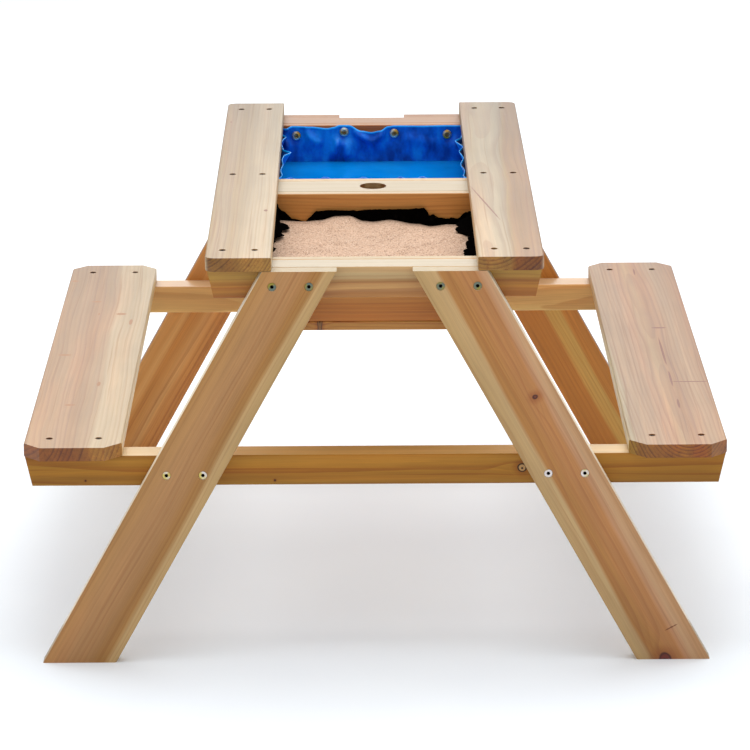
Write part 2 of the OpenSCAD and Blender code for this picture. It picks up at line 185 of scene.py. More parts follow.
def wood(name, at, along, across, width, bands, seed, pith=(-0.07, 0.03), ring=0.0045,
         contrast=1.0, wander=0.004, slant=0.0, tone=1.0, fade=0.0, top=None, top_middle=None,
         top_slope=(0.75, 0.95), side_tint=None, end_tint=END_TINT, end_gamma=END_GAMMA, ends=None,
         knots=(), marks=(), mark_colour="6c3414", rough=0.5, gloss=0.5):
    """One board's wood, cut from a log of its own.

    at is the board's middle, along its grain's direction, and across and width its face's. bands
    are (position from 0 to 1, hex code) across the face, moved sideways by slant for each metre
    along it and by wander here and there. tone scales the colour, and fade, painted light
    and shade that make one end of the board lighter or darker, adds to it for each metre along
    the board. Growth rings, ring apart, run round a pith at (across, deep) from the middle. top
    paints faces that look up, between the two slopes in top_slope, with a painted sheen where it
    is pale and painted shade where it is dark, but top_middle, (half length, hex code), paints the
    middle of them. side_tint is a painted highlight on the board's narrow sides, and end_tint
    changes the colour of its sawn ends. ends, (half length, tint), puts painted shade on all that
    lies further out. knots are (along, across, radius, bark's hex code, core's), and marks, thin
    resin streaks and cracks, are (along, across, half length, half width, lean), of mark_colour.
    """
    g = Graph(name)
    local = g.add("ShaderNodeMapping",
                  {"Vector": g.place, "Location": at, "Rotation": turn(along, across)},
                  vector_type="TEXTURE").outputs["Vector"]
    here = g.vector("ADD", local, (seed * 1.37, seed * 0.71, seed * 2.13))
    x, y, z = g.xyz(local)

    # Slow waves in the grain, and the swirl that each knot makes in it
    slow = g.math("SUBTRACT", g.streaks(here, 2.4, 9.0, 1.0), 0.5)
    quick = g.math("SUBTRACT", g.streaks(here, 12.0, 40.0), 0.5)
    swirl = g.math("MULTIPLY_ADD", slow, 5.0 * wander, g.math("MULTIPLY", quick, 0.5 * wander))
    reaches = []
    for knot_x, knot_y, knot_r, _, _ in knots:
        pull, reach = near_knot(g, g.math("SUBTRACT", x, knot_x), g.math("SUBTRACT", y, knot_y), knot_r)
        swirl = g.math("MULTIPLY_ADD", pull, 1.2 * knot_r, swirl)
        reaches.append(g.math("MULTIPLY_ADD", quick, 2.2, reach))

    sideways = g.math("MULTIPLY_ADD", x, -slant, g.math("SUBTRACT", y, pith[0]))
    late = late_wood(g, sideways, g.math("SUBTRACT", z, pith[1]), swirl, ring)

    # The colour across the board, with streaks, fibres, veins and soft patches that follow the grain
    bent = g.add("ShaderNodeCombineXYZ", {1: swirl}).outputs[0]
    flow = g.vector("ADD", here, bent)
    fibre = g.streaks(flow, 14.0, 700.0, 3.0, 0.6)
    streak = g.streaks(flow, 2.5, 110.0, 3.0, 0.65)
    broad = g.streaks(flow, 1.8, 24.0)
    patch = g.streaks(flow, 9.0, 16.0, 3.0)
    vein = g.smooth(g.streaks(flow, 2.0, 260.0), 0.58, 0.7)
    place = g.math("MULTIPLY_ADD", x, -slant, g.math("ADD", y, swirl))
    place = g.math("MULTIPLY_ADD", place, 1 / width, 0.5)
    base = g.ramp(place, [(position, colour(code)) for position, code in bands])
    for lines, strength in ((late, 0.85), (vein, 0.6)):
        share = g.math("MULTIPLY", lines, min(1.0, strength * contrast))
        base = g.mix(share, base, g.vector("MULTIPLY", base, LATE_TINT))
    light = g.math("MULTIPLY_ADD", streak, 0.5 * contrast, 1 - 0.25 * contrast)
    light = g.math("MULTIPLY", light, g.math("MULTIPLY_ADD", broad, 0.4 * contrast, 1 - 0.2 * contrast))
    light = g.math("MULTIPLY", light, g.math("MULTIPLY_ADD", fibre, 0.4, 0.8))
    light = g.math("MULTIPLY", light, g.math("MULTIPLY_ADD", patch, 0.2, 0.9))
    # Painted light and shade along the board: lighter or darker towards one end
    light = g.math("MULTIPLY", light, g.math("MULTIPLY_ADD", x, tone * fade, tone))
    base = g.vector("SCALE", base, scale=light)
    base = g.mix(g.smooth(broad, 0.5, 0.72), base, g.vector("MULTIPLY", base, PATCH_TINT))

    # Painted shade on the outer ends where ends is given. End grain is deeper in colour. The narrow
    # sides can get a painted highlight, and faces that look up get a painted sheen where top is pale
    # and painted shade where it is dark
    if ends is not None:
        half, tint = ends
        base = g.mix(beyond(g, x, half, 0.01), base, g.vector("MULTIPLY", base, tint))
    normal = g.add("ShaderNodeTexCoord", {}).outputs["Normal"]
    is_end = g.smooth(facing(g, normal, along), 0.5, 0.75)
    pores = g.noise(here, 1100.0, 2.0, 0.7)
    end_light = g.math("MULTIPLY_ADD", late, -0.35, g.math("MULTIPLY_ADD", pores, 0.7, 0.8))
    end = g.add("ShaderNodeGamma", {"Color": base, "Gamma": end_gamma}).outputs[0]
    end = g.vector("SCALE", g.vector("MULTIPLY", end, end_tint), scale=end_light)
    base = g.mix(is_end, base, end)
    # Painted highlight on the narrow sides
    if side_tint is not None:
        is_side = g.smooth(facing(g, normal, across), 0.8, 0.95)
        base = g.mix(is_side, base, g.vector("MULTIPLY", base, side_tint))
    # Painted sheen and painted shade on faces that look up
    if top is not None:
        up = g.smooth(g.xyz(normal)[2], *top_slope)
        painted_top = colour(top)[:3]
        if top_middle is not None:
            half, code = top_middle
            painted_top = g.mix(beyond(g, x, half, 0.02), colour(code), colour(top))
        painted_top = g.vector("SCALE", painted_top, scale=g.math("MULTIPLY_ADD", light, 0.5, 0.5))
        base = g.mix(g.math("MULTIPLY", up, 0.85), base, painted_top)

    for reach, (_, _, _, bark, core) in zip(reaches, knots):
        base = add_knot(g, base, reach, bark, core)
    for mark in marks:
        base = g.mix(mark_share(g, x, y, fibre, *mark), base, colour(mark_colour))

    height = g.math("MULTIPLY_ADD", fibre, 0.6, g.math("MULTIPLY", late, 0.4))
    roughness = g.math("MULTIPLY_ADD", fibre, 0.14, g.math("MULTIPLY_ADD", late, -0.06, rough - 0.05))
    return g.finish(base, roughness, g.bump(height, 0.3, 0.0004), Specular_IOR_Level=gloss)


def near_knot(g, dx, dy, radius):
    """How strongly a knot pulls the grain aside, and the distance from it in its own radii."""
    dy2 = g.math("MULTIPLY", dy, dy)
    stretched = g.math("MULTIPLY", dx, 0.3)
    near2 = g.math("MULTIPLY_ADD", stretched, stretched, dy2)
    pull = g.math("EXPONENT", g.math("MULTIPLY", near2, -0.4 / radius ** 2))
    return pull, g.math("DIVIDE", g.math("SQRT", g.math("MULTIPLY_ADD", dx, dx, dy2)), radius)


def late_wood(g, sideways, deep, swirl, ring):
    """Growth rings, dark at 1: each darkens slowly and ends sharply, and no two are alike."""
    radius = g.math("SQRT", g.math("MULTIPLY_ADD", sideways, sideways, g.math("MULTIPLY", deep, deep)))
    turns = g.math("DIVIDE", g.math("ADD", radius, swirl), ring)
    phase = g.math("FRACT", turns)
    year = g.add("ShaderNodeTexWhiteNoise", {"W": g.math("FLOOR", turns)},
                 noise_dimensions="1D").outputs["Value"]
    late = g.math("MULTIPLY", g.smooth(phase, 0.35, 0.92), g.smooth(phase, 1.0, 0.96))
    return g.math("MULTIPLY", late, g.math("MULTIPLY_ADD", year, 0.9, 0.1))


def add_knot(g, base, reach, bark, core):
    """A reddish halo, dark bark round the core, and a dark pith in its middle."""
    halo = g.math("MULTIPLY", g.smooth(reach, 3.0, 1.0), 0.7)
    base = g.mix(halo, base, g.vector("MULTIPLY", base, KNOT_TINT))
    knot = g.mix(g.smooth(reach, 0.6, 0.85), colour(core), colour(bark))
    knot = g.mix(g.smooth(reach, 0.25, 0.1), knot, colour("2a140a"))
    return g.mix(g.smooth(reach, 1.25, 0.9), base, knot)


def mark_share(g, x, y, fibre, mark_x, mark_y, half_length, half_width, lean):
    """How much of a mark's colour shows: an oval that the wood's fibres break up."""
    off_x = g.math("SUBTRACT", x, mark_x)
    off_y = g.math("MULTIPLY_ADD", off_x, -lean, g.math("SUBTRACT", y, mark_y))
    dx = g.math("DIVIDE", off_x, half_length)
    dy = g.math("DIVIDE", off_y, half_width)
    off = g.math("MULTIPLY_ADD", dx, dx, g.math("MULTIPLY", dy, dy))
    off = g.math("MULTIPLY_ADD", g.math("SUBTRACT", fibre, 0.5), 3.0, off)
    return g.math("MULTIPLY", g.smooth(off, 2.0, 0.7), 0.9)


def beyond(g, x, half, blur):
    """1 further than half from the middle, 0 nearer, with a soft change over the width blur."""
    return g.smooth(g.math("ABSOLUTE", x), half, half + blur)


def facing(g, normal, axis):
    """How squarely a surface faces along an axis, either way: from 0 to 1."""
    along_axis = g.add("ShaderNodeVectorMath", {0: normal, 1: Vector(axis).normalized()},
                       operation="DOT_PRODUCT").outputs["Value"]
    return g.math("ABSOLUTE", along_axis)


def middle(node):
    """The middle of a CAD node's box."""
    low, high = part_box(node)
    return (Vector(low) + Vector(high)) / 2


def paint(node, material):
    """Gives a CAD node one material in place of its packed ones."""
    mesh = nodes[node].data
    mesh.materials.clear()
    mesh.materials.append(material)


def ease_edges(node, width):
    """Takes the sharpness off a board's sawn ends, as sanding does. The mesh itself isn't changed."""
    weld = nodes[node].modifiers.new("weld", "WELD")
    weld.merge_threshold = 0.00002
    bevel = nodes[node].modifiers.new("ease", "BEVEL")
    bevel.width = width
    bevel.segments = 2
    bevel.limit_method = "ANGLE"
    bevel.angle_limit = math.radians(38)


def board(node, along, across, width, bands, **looks):
    """Paints one board of the frame and eases its ends."""
    looks.setdefault("seed", sum(node.encode()) % 97)
    paint(node, wood(node, middle(node), along, across, width, bands, **looks))
    ease_edges(node, 0.8 * MM)


def dress_legs():
    """Bands run from a leg's outer edge to its inner one, which is sapwood."""
    looks = {
        "front_left": dict(
            bands=((0, "b48040"), (0.1, "ba874b"), (0.25, "bb8851"), (0.4, "b98651"), (0.6, "b4814a"),
                   (0.72, "ab7635"), (0.8, "ac7a3a"), (0.87, "c8a26b"), (1, "bb965f")),
            pith=(-0.09, 0.05), ring=0.0042, contrast=0.6, tone=0.93, fade=0.3),
        "front_right": dict(
            bands=((0, "c69463"), (0.1, "cda074"), (0.2, "c89266"), (0.27, "be8046"), (0.45, "bc7f44"),
                   (0.6, "ba7f3c"), (0.72, "b57a38"), (0.78, "cca873"), (0.9, "c49e68"),
                   (1, "bf9a63")),
            pith=(0.05, 0.08), ring=0.005, contrast=0.6, slant=-0.02, tone=0.92, fade=0.4,
            knots=((0.103, -0.0145, 0.0048, "4a1c0c", "74341a"),
                   (-0.299, 0.0105, 0.0085, "4a140a", "6c2414")),
            marks=((-0.263, -0.0185, 0.0008, 0.008, 0),)),
        "back_left": dict(
            bands=((0, "d0934d"), (0.2, "c98a42"), (0.3, "d49a54"), (0.4, "c27e32"), (0.55, "cc8c44"),
                   (0.65, "d69c58"), (0.8, "ca8740"), (1, "c4803a")),
            pith=(-0.03, 0.06), ring=0.006, contrast=0.9),
        "back_right": dict(
            bands=((0, "c17a2a"), (0.26, "c4802f"), (0.3, "cea04f"), (0.5, "c99a4a"),
                   (0.55, "c07a2c"), (1, "c17824")),
            pith=(0.06, 0.05), ring=0.005, contrast=0.6),
    }
    # Painted light on the legs' upward faces: on the front legs a painted highlight along the outer
    # sides and painted shade on the heads under the planks, and painted shade on the back legs
    upper_faces = {"front": dict(top="a89a7c", top_middle=(0.26, "f0e4ca")),
                   "back": dict(top="7c5530")}
    for end, tops in upper_faces.items():
        for name, side in (("left", -1), ("right", 1)):
            up = (-side * math.sin(LEG_LEAN), 0, math.cos(LEG_LEAN))
            inward = (-side * math.cos(LEG_LEAN), 0, -math.sin(LEG_LEAN))
            board(f"leg_{end}_{name}", up, inward, LEG_W, top_slope=(0.3, 0.46), **tops,
                  **PLAIN_END, **looks[f"{end}_{name}"])


def dress_rails():
    """Bands run from a rail's lower edge to its upper one."""
    golden = ((0, "a07329"), (0.15, "9a6720"), (0.5, "a26f22"), (0.8, "a87628"), (1, "a46c21"))
    # The rails' and the beam's up-facing faces get a painted sheen from their top colours. The front
    # seat rail's top between the legs is painted shade under the table top, and the back table rail's
    # top is painted shade
    board("seat_rail_front", X_AXIS, Z_AXIS, RAIL_H, golden, pith=(0.02, 0.09), ring=0.004,
          contrast=1.5, wander=0.002, top="dcc296", top_middle=(0.22, "d0a25a"), gloss=0.25,
          knots=((0.1915, 0, 0.0052, "160905", "b98f5c"), (-0.1315, -0.0143, 0.0011, "4a2410", "4a2410"),
                 (-0.379, -0.0135, 0.0009, "4a2410", "4a2410")), **PLAIN_END)
    board("seat_rail_back", X_AXIS, Z_AXIS, RAIL_H,
          ((0, "dab069"), (0.3, "d4a15b"), (0.7, "ce9954"), (1, "d09a56")),
          pith=(-0.01, 0.09), ring=0.005, top="ba9a76", rough=0.4, **PLAIN_END)
    # The front table rail's outer ends are painted darker, as shade under the planks
    board("table_rail_front", X_AXIS, Z_AXIS, RAIL_H,
          ((0, "aa7338"), (0.12, "aa7239"), (0.2, "b88650"), (0.27, "bc8c52"), (0.44, "b88850"),
           (0.5, "a77942"), (0.56, "b28652"), (0.62, "c3a371"), (0.76, "c4a573"), (0.84, "bd9c6b"),
           (1, "b89666")),
          pith=(-0.035, 0.07), ring=0.0055, contrast=1.4, wander=0.0025, tone=1.06, top="a3967c",
          rough=0.42, ends=(0.14, (0.86, 0.68, 0.22)), **PLAIN_END)
    board("table_rail_back", X_AXIS, Z_AXIS, RAIL_H, ((0, "b57a40"), (1, "bd8650")),
          pith=(0.0, 0.09), top="7c5530", rough=0.45, **PLAIN_END)
    board("centre_beam", X_AXIS, Y_AXIS, BEAM_W, ((0, "8c6f3e"), (1, "94764a")),
          pith=(0.01, 0.09), ring=0.005, contrast=0.8, top="a39479", rough=0.45)


def dress_planks():
    """Bands run from a plank's left edge to its right one."""
    # Each seat and plank gets a painted highlight on its narrow sides and painted light and shade along
    # its length
    board("seat_left", Y_AXIS, X_AXIS, SEAT_W,
          ((0, "997a58"), (0.3, "9e7f5f"), (0.42, "997755"), (0.63, "a3896a"), (0.67, "b19d7e"),
           (0.85, "b29d7c"), (1, "bca888")),
          pith=(-0.1, -0.05), ring=0.006, contrast=1.0, wander=0.005, slant=-0.014, tone=0.96,
          fade=-0.38, side_tint=(1.55, 1.5, 1.15), end_tint=(0.92, 0.56, 0.14),
          marks=((0.255, -0.015, 0.003, 0.006, 0), (0.186, 0.025, 0.005, 0.006, 0),
                 (0.186, -0.007, 0.005, 0.001, 0), (0.142, 0.042, 0.012, 0.002, 0),
                 (-0.03, -0.041, 0.003, 0.008, 0), (-0.175, 0.016, 0.009, 0.002, 0),
                 (-0.274, -0.016, 0.003, 0.006, 0), (0.375, -0.056, 0.003, 0.005, 0)),
          mark_colour="96602e")
    board("seat_right", Y_AXIS, X_AXIS, SEAT_W,
          ((0, "aa9a7a"), (0.03, "a68a6b"), (0.35, "a17f60"), (0.5, "a3845f"), (0.6, "9a7350"),
           (0.8, "a08262"), (1, "966f4d")),
          pith=(0.004, -0.035), ring=0.0045, contrast=1.2, wander=0.003, slant=-0.02, tone=0.91,
          fade=-0.22, side_tint=(1.6, 1.55, 1.15), end_tint=(1.13, 0.78, 0.14),
          marks=((-0.03, 0.0125, 0.055, 0.0014, 0), (-0.165, 0.013, 0.03, 0.0014, 0),
                 (-0.284, 0.014, 0.018, 0.0016, 0), (0.41, 0.004, 0.016, 0.0012, 0),
                 (-0.18, 0.038, 0.0018, 0.023, 0), (0.094, 0.017, 0.003, 0.009, 0)))
    board("top_plank_left", Y_AXIS, X_AXIS, PLANK_W,
          ((0, "8c7552"), (0.2, "958064"), (0.35, "927a58"), (0.6, "9f8c70"), (1, "a6957a")),
          pith=(-0.07, -0.06), ring=0.004, contrast=1.0, wander=0.002, tone=0.92, fade=-0.65,
          side_tint=(1.5, 1.45, 1.3),
          marks=((-0.213, 0.03, 0.005, 0.0022, 0), (0.337, -0.034, 0.004, 0.001, 0)))
    board("top_plank_right", Y_AXIS, X_AXIS, PLANK_W,
          ((0, "9c8468"), (0.12, "9f8b6c"), (0.3, "a08f74"), (0.58, "93836a"), (0.64, "8f7650"),
           (0.68, "8c6c48"), (1, "88694a")),
          pith=(-0.02, -0.06), ring=0.0055, contrast=1.1, wander=0.004, slant=0.02, tone=0.89,
          fade=-0.64, side_tint=(1.5, 1.45, 1.3),
          marks=((-0.178, -0.0238, 0.078, 0.0011, -0.177),))


def dress_boxes():
    """The boxes' walls and slats are of plainer, redder wood."""
    wall = ((0, "bb7124"), (0.3, "c0782a"), (0.42, "ca8a3e"), (1, "cb8d48"))
    plain = dict(width=WALL_H, ring=0.0055, contrast=0.7, **PLAIN_END)
    # The walls' tops get a painted sheen, and the water box's far wall a dimmer one
    for box in ("sand", "water"):
        for part in ("left", "right"):
            board(f"{box}_box_{part}_wall", Y_AXIS, Z_AXIS, bands=wall, top="aa9a7c", **plain)
        board(f"{box}_box_beam_wall", X_AXIS, Z_AXIS, bands=wall, top="aa9a7c", **plain)
    board("sand_box_end_wall", X_AXIS, Z_AXIS, bands=wall, top="ada082", **plain)
    board("water_box_end_wall", X_AXIS, Z_AXIS, bands=((0, "b56c30"), (1, "a9622f")), top="8b6644",
          **plain)
    nearest_knots = {("sand", 4): ((-0.0716, -0.0445, 0.003, "5a3416", "8a5e30"),)}
    for box in ("sand", "water"):
        for i in range(1, 5):
            board(f"{box}_floor_slat_{i}", X_AXIS, Y_AXIS, SLAT_W, ((0, "b88038"), (1, "b57a34")),
                  pith=(0.0, -0.05), contrast=1.2, knots=nearest_knots.get((box, i), ()), **PLAIN_END)


# ---- Metal ----

def metal(name, silver, gold, roughness, face_y=None):
    """Zinc plate that turns from silver to gold from place to place. Where it lies deeper than a
    bolt head's face at face_y, as in the head's socket, it is painted black as shade in the socket."""
    g = Graph(name)
    patches = g.noise(g.place, 95.0, 2.0)
    scratches = g.noise(g.vector("MULTIPLY", g.place, (2500, 2500, 900)), 1.0, 2.0)
    base = g.mix(g.smooth(patches, 0.38, 0.62), colour(silver), colour(gold))
    if face_y is not None:
        # Painted shade: black inside the socket, deeper than the head's face
        depth = g.math("SUBTRACT", face_y, g.math("ABSOLUTE", g.xyz(g.place)[1]))
        base = g.mix(g.smooth(depth, 0.1 * MM, 0.7 * MM), base, colour("080706"))
    rough = g.math("MULTIPLY_ADD", scratches, 0.25, roughness)
    return g.finish(base, rough, g.bump(scratches, 0.2, 0.0001), Metallic=1.0)


def dress_metal():
    """Fasteners of zinc, some turned gold, and of dark steel."""
    face_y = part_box("leg_bolts_upper")[1][1]
    # The upper bolts' zinc is darker, painted shade under the table top; the lower bolts' is brighter, a
    # painted highlight
    paint("leg_bolts_upper", metal("bolt_zinc", "6f796f", "9c8d42", 0.25, face_y))
    paint("leg_bolts_lower", metal("bright_bolt_zinc", "d9cfcb", "c9b464", 0.25, face_y))
    zinc = metal("zinc", "c8d0c8", "d9a444", 0.3)
    for node in ("barrel_nuts_upper", "barrel_nuts_lower", "liner_cup_washers"):
        paint(node, zinc)
    dark = metal("screw_steel", "2c2825", "1c1917", 0.4)
    for row in frame["record"]["subparts"]:
        if row["material_slot"] == "screw_steel":
            paint(row["node"], dark)
    paint("liner_screws", metal("liner_screw", "a89a70", "8a6a3a", 0.4))


# ---- Shapes for the liners, the water and the sand ----

LINER_T = 1.0 * MM     # thickness of either liner
LINER_IN = 1.0 * MM    # from a box's wall to the middle of its liner
CORNER_R = 7 * MM      # rounding of the liners' upright corners
# The far wall's washers: X, and depth below the rim, in mm
WASHERS = ((-113.5, 15.5), (-41.5, 10), (33.5, 12.5), (113, 14.5))
WATER_Z = 477 * MM     # the water's surface
SAND_Z = 494.5 * MM    # the middle height of the sand's surface


def ease(value):
    """0 below 0, 1 above 1, and smooth in between."""
    t = np.clip(value, 0, 1)
    return t * t * (3 - 2 * t)


def line(points, at):
    """Values at the places at on a smooth line through (place, value) points, all in mm."""
    places, values = np.array(points, float).T * MM
    i = np.clip(np.searchsorted(places, at) - 1, 0, len(places) - 2)
    share = ease((at - places[i]) / (places[i + 1] - places[i]))
    return values[i] + share * (values[i + 1] - values[i])


def lumps(points, scale, seed):
    """Soft 3-D noise from -1 to 1 at each row of points."""
    shift = Vector((seed * 3.1, seed * 1.7, seed * 0.9))
    return np.array([noise.noise(Vector(p) * scale + shift) for p in points])


def inside(box):
    """The space inside a box's walls, from its floor slats to its rim: lowest and highest corner."""
    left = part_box(f"{box}_box_left_wall")
    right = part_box(f"{box}_box_right_wall")
    return (left[1][0], left[0][1], left[0][2]), (right[0][0], right[1][1], left[1][2])


class Tub:
    """Upright columns of points round the inside of a box, where its liner's walls stand."""

    def __init__(self, box):
        self.low, self.high = (np.array(corner) for corner in inside(box))
        low = self.low[:2] + LINER_IN + CORNER_R
        high = self.high[:2] - LINER_IN - CORNER_R
        self.middle = (low + high) / 2
        places, inward, sides = [], [], []
        corners = [(low[0], low[1]), (high[0], low[1]), (high[0], high[1]), (low[0], high[1])]
        for side, name in enumerate(("near", "right", "far", "left")):
            start, end = np.array(corners[side]), np.array(corners[(side + 1) % 4])
            run = (end - start) / np.linalg.norm(end - start)
            out = np.array((run[1], -run[0]))
            steps = round(np.linalg.norm(end - start) / (1.8 * MM))
            for i in range(steps):
                places.append(start + (end - start) * i / steps + out * CORNER_R)
                inward.append(-out)
                sides.append(name)
            for i in range(6):
                angle = math.radians(15 * i)
                round_it = out * math.cos(angle) + run * math.sin(angle)
                places.append(end + round_it * CORNER_R)
                inward.append(-round_it)
                sides.append(name)
        self.places = np.array(places)
        self.inward = np.array(inward)
        self.sides = np.array(sides)
        self.along = np.where(np.isin(self.sides, ("near", "far")), self.places[:, 0],
                              self.places[:, 1])

    def profile(self, **points):
        """One value for each column, from a line of (place, value) points for each side, in mm."""
        value = np.zeros(len(self.along))
        for side, side_points in points.items():
            mine = self.sides == side
            value[mine] = line(side_points, self.along[mine])
        return value

    def build(self, name, rows):
        """A mesh object through rows of (inward, up) distances, floor first; the floor is closed."""
        columns = len(self.places)
        floor_z = self.low[2] + LINER_IN
        points = []
        for share in (0.04, 0.25, 0.5, 0.75, 0.9, 0.97):
            ring = self.middle + (self.places - self.middle) * share
            points.append(np.column_stack((ring, np.full(columns, floor_z))))
        for reach, up in rows:
            ring = self.places + self.inward * reach[:, None]
            points.append(np.column_stack((ring, floor_z + up)))
        faces = [tuple(range(columns))]
        for row in range(len(points) - 1):
            for i in range(columns):
                j = (i + 1) % columns
                a, b = row * columns, (row + 1) * columns
                faces.append((a + i, a + j, b + j, b + i))
        return new_object(name, np.concatenate(points), faces)


def new_object(name, points, faces):
    mesh = bpy.data.meshes.new(name)
    mesh.from_pydata([tuple(p) for p in points], [], faces)
    mesh.shade_smooth()
    piece = bpy.data.objects.new(name, mesh)
    bpy.context.scene.collection.objects.link(piece)
    return piece


def thicken(piece):
    """Gives a liner's sheet its thickness, half of it to each side."""
    solidify = piece.modifiers.new("thickness", "SOLIDIFY")
    solidify.thickness = LINER_T
    solidify.offset = 0


def heap(name, box, gap, bottom, top, step):
    """A closed block that fills a box, gap from its walls. top(x, y) gives its surface."""
    low, high = (np.array(corner[:2]) for corner in inside(box))
    low, high = low + gap, high - gap
    nx, ny = (int(round(size / step)) for size in high - low)
    x, y = np.meshgrid(np.linspace(low[0], high[0], nx + 1), np.linspace(low[1], high[1], ny + 1))
    core = np.clip(x, low[0] + CORNER_R, high[0] - CORNER_R), \
        np.clip(y, low[1] + CORNER_R, high[1] - CORNER_R)
    reach = np.hypot(x - core[0], y - core[1])
    pull = np.where(reach > CORNER_R, CORNER_R / np.maximum(reach, 1e-9), 1)
    x = (core[0] + (x - core[0]) * pull).ravel()
    y = (core[1] + (y - core[1]) * pull).ravel()
    points = np.column_stack((x, y, top(x, y)))

    def at(i, j):
        return j * (nx + 1) + i

    faces = [(at(i, j), at(i + 1, j), at(i + 1, j + 1), at(i, j + 1))
             for j in range(ny) for i in range(nx)]
    rim = [at(i, 0) for i in range(nx)] + [at(nx, j) for j in range(ny)]
    rim += [at(i, ny) for i in range(nx, 0, -1)] + [at(0, j) for j in range(ny, 0, -1)]
    first = len(points)
    points = np.concatenate((points, np.column_stack((x[rim], y[rim], np.full(len(rim), bottom)))))
    for i in range(len(rim)):
        j = (i + 1) % len(rim)
        faces.append((rim[j], rim[i], first + i, first + j))
    faces.append(tuple(range(first + len(rim) - 1, first - 1, -1)))
    return new_object(name, points, faces)


# ---- Water box ----

# On the far wall: from and to (x, z), half width and height, in mm
LINER_CREASES = (((-46, 522), (-60, 476), 4.5, 9), ((-40, 515), (-34, 468), 9, 7),
                 ((-34, 526), (4, 505), 5, 6), ((28, 526), (-2, 505), 5, 4),
                 ((-104, 524), (-76, 500), 7, 6), ((-121, 518), (-132, 478), 6, 5),
                 ((40, 514), (104, 500), 9, 2.5), ((119, 516), (138, 480), 8, 4))


def crease(x, z, start, end, width, height):
    """A soft ridge on an upright sheet, highest half way between two (x, z) points in mm."""
    a, b = np.array(start) * MM, np.array(end) * MM
    run = b - a
    share = ((x - a[0]) * run[0] + (z - a[1]) * run[1]) / (run @ run)
    off = np.hypot(x - a[0] - share * run[0], z - a[1] - share * run[1])
    shape = np.sin(np.pi * np.clip(share, 0, 1)) ** 0.7
    return height * MM * shape * np.exp(-(off / (width * MM)) ** 2)


def make_water_liner():
    """A blue sheet tucked into the box.

    Its far wall lies flat under the washers that hold it. Its near wall leaves them no room, so the
    four washers there cut into it.
    """
    tub = Tub("water")
    hem = tub.profile(
        far=((-147, 530), (-139, 531), (-130, 529), (-118, 531.5), (-93, 531), (-66, 529),
             (-56, 530), (-49, 532.5), (-36, 532.5), (-15, 525), (-1, 523), (12, 525),
             (25, 530.5), (34, 531.5), (137, 531.5), (147, 529)),
        left=((46, 528), (150, 526), (200, 524), (247, 524), (300, 526), (350, 524), (391, 529)),
        right=((46, 528), (160, 525), (240, 526), (313, 525), (360, 526), (391, 528)),
        near=((-147, 528), (-130, 530.5), (90, 530.5), (147, 528)))
    wave = tub.profile(
        far=((-147, 0), (-136, 5), (-128, 9), (-120, 0), (-90, 3), (-70, 6), (-56, 3), (-48, 0),
             (-35, 0), (-14, 6), (-1, 8), (12, 6), (27, 0), (40, 0), (75, 2.5), (106, 0), (128, 1),
             (147, 0)),
        left=((46, 10), (90, 18), (125, 15.5), (165, 18), (205, 16), (225, 18), (247, 28),
              (266, 16), (300, 13), (330, 15), (350, 19), (368, 12), (391, 2)),
        right=((46, 10), (80, 18), (115, 15.5), (160, 20), (200, 15), (240, 20), (272, 14),
               (313, 24), (338, 14), (365, 12), (391, 2)),
        near=((-147, 2), (-126, 2), (-117, 14), (-108, 2), (-77, 2), (-67, 16), (-57, 2), (-22, 2),
              (-13, 15), (-4, 2), (31, 2), (39, 14), (47, 2), (61, 2), (70, 16), (79, 2), (147, 2)))
    floor_z = tub.low[2] + LINER_IN
    water_up = WATER_Z - floor_z
    far = tub.sides == "far"
    x = tub.along
    rows = []
    for share in np.linspace(0.02, 1, 34):
        up = share * (hem - floor_z)
        z = floor_z + up
        free = ease((up - water_up - 2 * MM) / (28 * MM))
        reach = wave * free * ((up - water_up) / (hem - floor_z - water_up))
        folds = sum(crease(x, z, *ridge) for ridge in LINER_CREASES)
        reach = reach + np.where(far, folds * ease((up - water_up) / (12 * MM)), 0)
        for washer_x, drop in WASHERS:
            away = np.hypot(x - washer_x * MM, z - tub.high[2] + drop * MM)
            held = ease((away - 8 * MM) / (12 * MM))
            reach = np.where(far, reach * held, reach)
        rows.append((reach, up))
    piece = tub.build("water_liner_sheet", rows)
    columns = len(tub.places)
    # The hem row is partly the hem's own lighter edge and partly a painted highlight where it catches
    # the light from above; on the near side, where the hem lies in shade, it keeps the plain blue
    for polygon, side in zip(piece.data.polygons[-columns:], tub.sides):
        polygon.material_index = 0 if side == "near" else 1
    piece.data.materials.append(pvc("pvc", ("003c96", "0060ce", "0884e4")))
    piece.data.materials.append(pvc("pvc_hem_highlight", ("0088e0", "0094ea", "10a0f0")))
    thicken(piece)
    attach(piece, "root")
    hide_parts("water_liner")


def pvc(name, codes):
    """Blue coated sheet: a faint grid of threads under a smooth, slightly dusty skin. Its blue is
    lighter and darker in patches that run more down than across, painted shade and light of creases."""
    g = Graph(name)
    # Painted shade and light of the creases, drawn out upright
    fold_shade = g.noise(g.vector("MULTIPLY", g.place, (38.0, 38.0, 20.0)), 1.0, 3.0)
    dust = g.noise(g.place, 260.0, 2.0)
    base = g.ramp(fold_shade, tuple(zip((0.36, 0.5, 0.64), (colour(code) for code in codes))))
    base = g.vector("SCALE", base, scale=g.math("MULTIPLY_ADD", dust, 0.3, 0.85))
    threads = g.add("ShaderNodeVectorMath", {0: g.vector("SCALE", g.place, scale=5200.0)},
                    operation="SINE").outputs["Vector"]
    grid = g.math("ADD", g.math("ADD", *g.xyz(threads)[:2]), g.xyz(threads)[2])
    dents = g.bump(g.noise(g.place, 70.0, 2.0), 0.35, 0.004)
    rough = g.math("MULTIPLY_ADD", dust, 0.2, 0.28)
    return g.finish(base, rough, g.bump(grid, 0.08, 0.0002, dents), Specular_IOR_Level=0.25)


